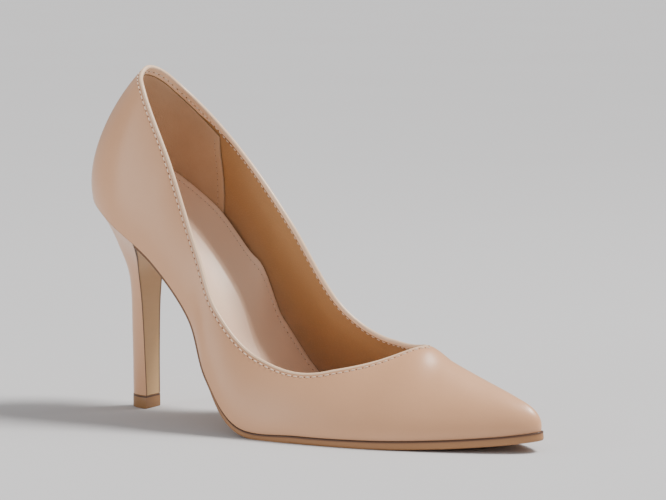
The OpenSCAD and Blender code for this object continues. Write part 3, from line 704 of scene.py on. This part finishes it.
class Mat:
    """A small helper for node materials."""

    def __init__(self, name):
        self.m = bpy.data.materials.new(name)
        self.m.use_nodes = True
        self.t = self.m.node_tree
        self.bsdf = self.t.nodes["Principled BSDF"]
        self.co = self.t.nodes.new("ShaderNodeTexCoord").outputs["Object"]

    def node(self, kind, **values):
        n = self.t.nodes.new(kind)
        for k, v in values.items():
            if k in n.inputs:
                n.inputs[k].default_value = v
            else:
                setattr(n, k, v)
        return n

    def link(self, a, b):
        self.t.links.new(a, b)

    def noise(self, scale, detail=4.0, rough=.5, stretch=None):
        n = self.node("ShaderNodeTexNoise", Scale=scale, Detail=detail, Roughness=rough)
        co = self.co
        if stretch:
            mp = self.node("ShaderNodeMapping")
            mp.inputs["Scale"].default_value = stretch
            self.link(self.co, mp.inputs["Vector"])
            co = mp.outputs[0]
        self.link(co, n.inputs["Vector"])
        return n.outputs["Fac"]

    def cells(self, scale, feature="DISTANCE_TO_EDGE"):
        """Leather cells: distance to the nearest border, or to the nearest centre with F1."""
        n = self.node("ShaderNodeTexVoronoi", Scale=scale)
        n.feature = feature
        self.link(self.co, n.inputs["Vector"])
        return n.outputs["Distance"]

    def attr(self, name="tone"):
        return self.node("ShaderNodeAttribute", attribute_name=name).outputs["Fac"]

    def ramp(self, fac, stops):
        n = self.node("ShaderNodeValToRGB")
        e = n.color_ramp.elements
        while len(e) < len(stops):
            e.new(.5)
        for el, (pos, col) in zip(e, stops):
            el.position, el.color = pos, col
        self.link(fac, n.inputs["Fac"])
        return n.outputs["Color"]

    def mix(self, fac, a, b, mode="MIX"):
        n = self.node("ShaderNodeMix", data_type="RGBA", blend_type=mode)
        for sock, v in ((n.inputs[0], fac), (n.inputs[6], a), (n.inputs[7], b)):
            if hasattr(v, "links"):
                self.link(v, sock)
            else:
                sock.default_value = v
        return n.outputs[2]

    def math(self, op, a, b=0.0):
        n = self.node("ShaderNodeMath", operation=op)
        for sock, v in zip(n.inputs, (a, b)):
            if hasattr(v, "links"):
                self.link(v, sock)
            else:
                sock.default_value = v
        return n.outputs[0]

    def range(self, fac, a, b):
        n = self.node("ShaderNodeMapRange")
        n.inputs["To Min"].default_value, n.inputs["To Max"].default_value = a, b
        self.link(fac, n.inputs["Value"])
        return n.outputs[0]

    def bump(self, heights):
        """heights: (socket, strength, distance in metres) from coarse to fine."""
        last = None
        for h, strength, dist in heights:
            n = self.node("ShaderNodeBump", Strength=strength, Distance=dist)
            self.link(h, n.inputs["Height"])
            if last:
                self.link(last, n.inputs["Normal"])
            last = n.outputs["Normal"]
        self.link(last, self.bsdf.inputs["Normal"])

    def set(self, **values):
        for k, v in values.items():
            s = self.bsdf.inputs[k.replace("_", " ")]
            if hasattr(v, "links"):
                self.link(v, s)
            else:
                s.default_value = v
        return self.m


def smooth_leather(name, dark, light, rough=.36, grain=.12, coat=.18):
    m = Mat(name)
    broad = m.noise(22, 3)
    cloudy = m.noise(160, 4)
    base = m.mix(broad, dark, light)
    base = m.mix(m.range(cloudy, 0, .16), base, dark)
    pores = m.cells(1500, "F1")
    base = m.mix(m.range(pores, .05, 0), base, darker(dark, .8))
    m.bump([(m.noise(420, 3), grain, .0003), (pores, grain * .8, .0001)])
    return m.set(Base_Color=base, Roughness=m.range(m.noise(300, 3), rough - .05, rough + .06),
                 Coat_Weight=coat, Coat_Roughness=.32, Specular_IOR_Level=.5)


NUDE_DARK, NUDE_LIGHT = srgb(212, 156, 114), srgb(228, 176, 136)


def grained_leather(name, dark, mid, light, rough=.55, scale=900, strength=.5):
    m = Mat(name)
    tone = m.attr()
    # the tone attribute is painted light on the lining: golden ochre high up, pinkish tan low down in shade;
    # the noise adds random blotches
    painted_light_and_blotches = m.math("ADD", tone, m.range(m.noise(45, 4), -.12, .12))
    base = m.ramp(painted_light_and_blotches, [(0, light), (.45, mid), (1, dark)])
    cells = m.cells(scale)
    base = m.mix(m.range(cells, .28, 0), base, darker(dark, .45))
    m.bump([(m.noise(260, 3, stretch=(1, 1, .4)), strength * .5, .0006), (cells, strength, .0003)])
    return m.set(Base_Color=base, Roughness=rough, Specular_IOR_Level=.35)


def suede(name, dark, light):
    m = Mat(name)
    fibre = m.noise(1800, 5, .7, stretch=(1, 1, .35))
    base = m.mix(m.math("MULTIPLY", m.noise(60, 4), .9), dark, light)
    base = m.mix(m.range(fibre, 0, .5), base, light)
    base = m.mix(m.math("MULTIPLY", m.attr(), .35), base, light)
    m.bump([(fibre, .5, .0003), (m.noise(500, 3), .3, .0004)])
    return m.set(Base_Color=base, Roughness=.92, Specular_IOR_Level=.15, Sheen_Weight=.5, Sheen_Roughness=.4,
                 Sheen_Tint=light)


def thread_mat(name, colour, hole):
    m = Mat(name)
    twist = m.noise(2600, 2)
    thread = m.mix(m.range(twist, 0, .5), colour, darker(colour, .6))
    # tone 1 marks the hole discs, painted in the hole colour as the shade inside the pricked holes
    base = m.mix(m.attr(), thread, hole)
    m.bump([(twist, .4, .0001)])
    return m.set(Base_Color=base, Roughness=.6, Sheen_Weight=.2)


def sole_mat(name, edge, dark):
    m = Mat(name)
    fib = m.noise(700, 4, stretch=(.15, .15, 1.6))
    base = m.mix(m.range(fib, 0, .5), edge, (edge[0] * .72, edge[1] * .7, edge[2] * .66, 1))
    base = m.mix(m.noise(35, 4), base, (edge[0] * 1.12, edge[1] * 1.08, edge[2] * 1.02, 1))
    base = m.mix(m.attr(), base, dark)
    m.bump([(fib, .25, .0002), (m.noise(240, 3), .12, .0003)])
    return m.set(Base_Color=base, Roughness=m.range(m.noise(120, 3), .42, .58), Coat_Weight=.1)


def plain(name, colour, rough=.5, metal=0.0, scale=400, strength=.2, vary=.15):
    m = Mat(name)
    n = m.noise(scale, 4)
    base = m.mix(n, colour, darker(colour, 1 - vary))
    m.bump([(n, strength, .0003)])
    return m.set(Base_Color=base, Roughness=m.range(m.noise(scale * .3, 3), rough - .06, rough + .06),
                 Metallic=metal)


def dress(o, material):
    o.data.materials.clear()
    o.data.materials.append(material)


upper = make_upper()
edge = make_edge()
lining = make_lining()
grip, grip_rows = make_grip()
sock = make_sock()
outsole = make_outsole()
cover = make_heel_cover()
breast = make_breast()
tip = make_top_piece()
top_thread = make_topline_stitches()
sock_thread = make_sock_stitches()
grip_thread = make_grip_stitches(grip_rows)

leather = smooth_leather("nude_leather", NUDE_DARK, NUDE_LIGHT)
dress(upper, leather)
dress(cover, leather)
# the folded edge is painted lighter and creamier than the upper: a painted highlight along its rounded fold
dress(edge, smooth_leather("edge_leather", srgb(236, 196, 160), srgb(246, 214, 182), rough=.33))
dress(sock, smooth_leather("sock_leather", srgb(244, 204, 174), srgb(250, 220, 194),
                           rough=.32, grain=.16, coat=.35))
# the lining runs from pinkish tan low down to golden ochre high up: painted light and shade by height
dress(lining, grained_leather("lining_leather", srgb(182, 138, 92), srgb(184, 144, 108), srgb(198, 162, 136)))
dress(grip, suede("grip_suede", srgb(170, 136, 106), srgb(200, 168, 138)))
dress(outsole, sole_mat("sole_leather", srgb(168, 122, 82), srgb(74, 44, 26)))
dress(breast, sole_mat("breast_leather", srgb(214, 176, 126), srgb(96, 58, 32)))
dress(tip, sole_mat("top_plastic", srgb(148, 108, 68), srgb(70, 42, 26)))
# the second colour of each thread is the painted shade of its stitch holes
dress(top_thread, thread_mat("thread", srgb(246, 224, 202), srgb(110, 68, 46)))
dress(sock_thread, thread_mat("sock_thread", srgb(236, 208, 186), srgb(150, 106, 80)))
dress(grip_thread, thread_mat("grip_thread", srgb(196, 164, 136), srgb(104, 74, 54)))

HIDDEN = {
    "topline_tape": plain("woven_tape", srgb(238, 236, 228), .8, scale=1500, strength=.5),
    "toe_puff": plain("puff_cloth", srgb(214, 208, 192), .8, scale=1200, strength=.5),
    "heel_counter": plain("leather_board", srgb(168, 142, 116), .75, scale=700, strength=.4),
    "insole_board": plain("insole_board", srgb(196, 160, 120), .85, scale=600, strength=.3),
    "tuck_board": plain("fibre_board", srgb(160, 130, 98), .8, scale=800, strength=.3),
    "shank": plain("shank_steel", srgb(150, 154, 160), .35, 1.0, scale=300, strength=.08),
    "shank_rivets": plain("rivet_steel", srgb(176, 174, 168), .3, 1.0, scale=500, strength=.05),
    "bottom_filler": plain("felt_filler", srgb(146, 112, 76), .95, scale=900, strength=.7),
    "sock_pad": plain("foam", srgb(232, 218, 166), .95, scale=1100, strength=.8),
    "heel_block": plain("heel_plastic", srgb(222, 216, 202), .45, scale=200, strength=.1, vary=.06),
    "heel_tube": plain("tube_steel", srgb(158, 160, 166), .3, 1.0, scale=400, strength=.05),
    "top_piece_pin": plain("pin_steel", srgb(178, 180, 184), .28, 1.0, scale=400, strength=.05),
    "heel_nails": plain("nail_steel", srgb(170, 170, 174), .35, 1.0, scale=500, strength=.1),
    "heel_screw": plain("screw_steel", srgb(164, 166, 170), .32, 1.0, scale=500, strength=.1)}
for node, material in HIDDEN.items():
    dress(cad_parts[node], material)

# ---------------------------------------------------------------- stage, light and camera
def make_floor():
    m = Mat("floor_paper")
    base = m.mix(m.range(m.noise(3, 5), 0, .35), srgb(206, 206, 208), srgb(196, 195, 196))
    m.bump([(m.noise(60, 5), .05, .002)])
    m.set(Base_Color=base, Roughness=.85, Specular_IOR_Level=.2)
    mesh = bpy.data.meshes.new("floor")
    n = 64
    pts = [(12 * math.cos(2 * math.pi * k / n), 12 * math.sin(2 * math.pi * k / n), 0) for k in range(n)]
    mesh.from_pydata(pts, [], [tuple(range(n))])
    o = bpy.data.objects.new("floor", mesh)
    bpy.context.scene.collection.objects.link(o)
    o.data.materials.append(m.m)


def area(name, at, to, size, watts, colour):
    d = bpy.data.lights.new(name, "AREA")
    d.energy, d.color, d.size = watts, colour, size
    o = bpy.data.objects.new(name, d)
    bpy.context.scene.collection.objects.link(o)
    o.location = Vector(at)
    o.rotation_mode = "QUATERNION"
    o.rotation_quaternion = (Vector(to) - Vector(at)).to_track_quat("-Z", "Y")


AZ, EL, DISTANCE, LENS = math.radians(33.4), math.radians(6.9), 1.175, 149.0
BACK_DIR = Vector((math.sin(AZ) * math.cos(EL), -math.cos(AZ) * math.cos(EL), math.sin(EL)))
RIGHT = Vector((math.cos(AZ), math.sin(AZ), 0))
target = CENTRE + Vector((.0081, .0090, -.0003))


def around(right, back, up):
    """A point by distances to the camera's right, towards the camera, and up."""
    flat = Vector((BACK_DIR.x, BACK_DIR.y, 0)).normalized()
    return RIGHT * right + flat * back + Vector((0, 0, up))


make_floor()
sun = bpy.data.lights.new("window_sun", "SUN")
sun.energy, sun.angle, sun.color = 4.0, math.radians(16), (1, .98, .95)
sun_object = bpy.data.objects.new("window_sun", sun)
bpy.context.scene.collection.objects.link(sun_object)
sun_object.rotation_mode = "QUATERNION"
sun_object.rotation_quaternion = around(.8, -.1, 1.35).to_track_quat("Z", "Y")
area("key_softbox", around(.8, -.1, .9), (0, 0, .06), .7, 5, (1, .985, .96))
area("left_softbox", around(-1.2, .5, .38), (0, 0, .1), .7, 5, (1, .99, .97))
area("front_card", around(.3, 1.6, .9), (0, 0, .06), 1.0, 1.2, (1, .99, .98))
world = bpy.data.worlds.new("studio")
world.use_nodes = True
world.node_tree.nodes["Background"].inputs["Color"].default_value = (.93, .93, .94, 1)
world.node_tree.nodes["Background"].inputs["Strength"].default_value = .46
bpy.context.scene.world = world

cam = bpy.data.objects.new("camera", bpy.data.cameras.new("camera"))
bpy.context.scene.collection.objects.link(cam)
cam.data.lens, cam.data.sensor_width = LENS, 36
cam.data.clip_start, cam.data.clip_end = .05, 40
cam.location = target + BACK_DIR * DISTANCE
cam.rotation_mode = "QUATERNION"
cam.rotation_quaternion = BACK_DIR.to_track_quat("Z", "Y")
bpy.context.scene.camera = cam
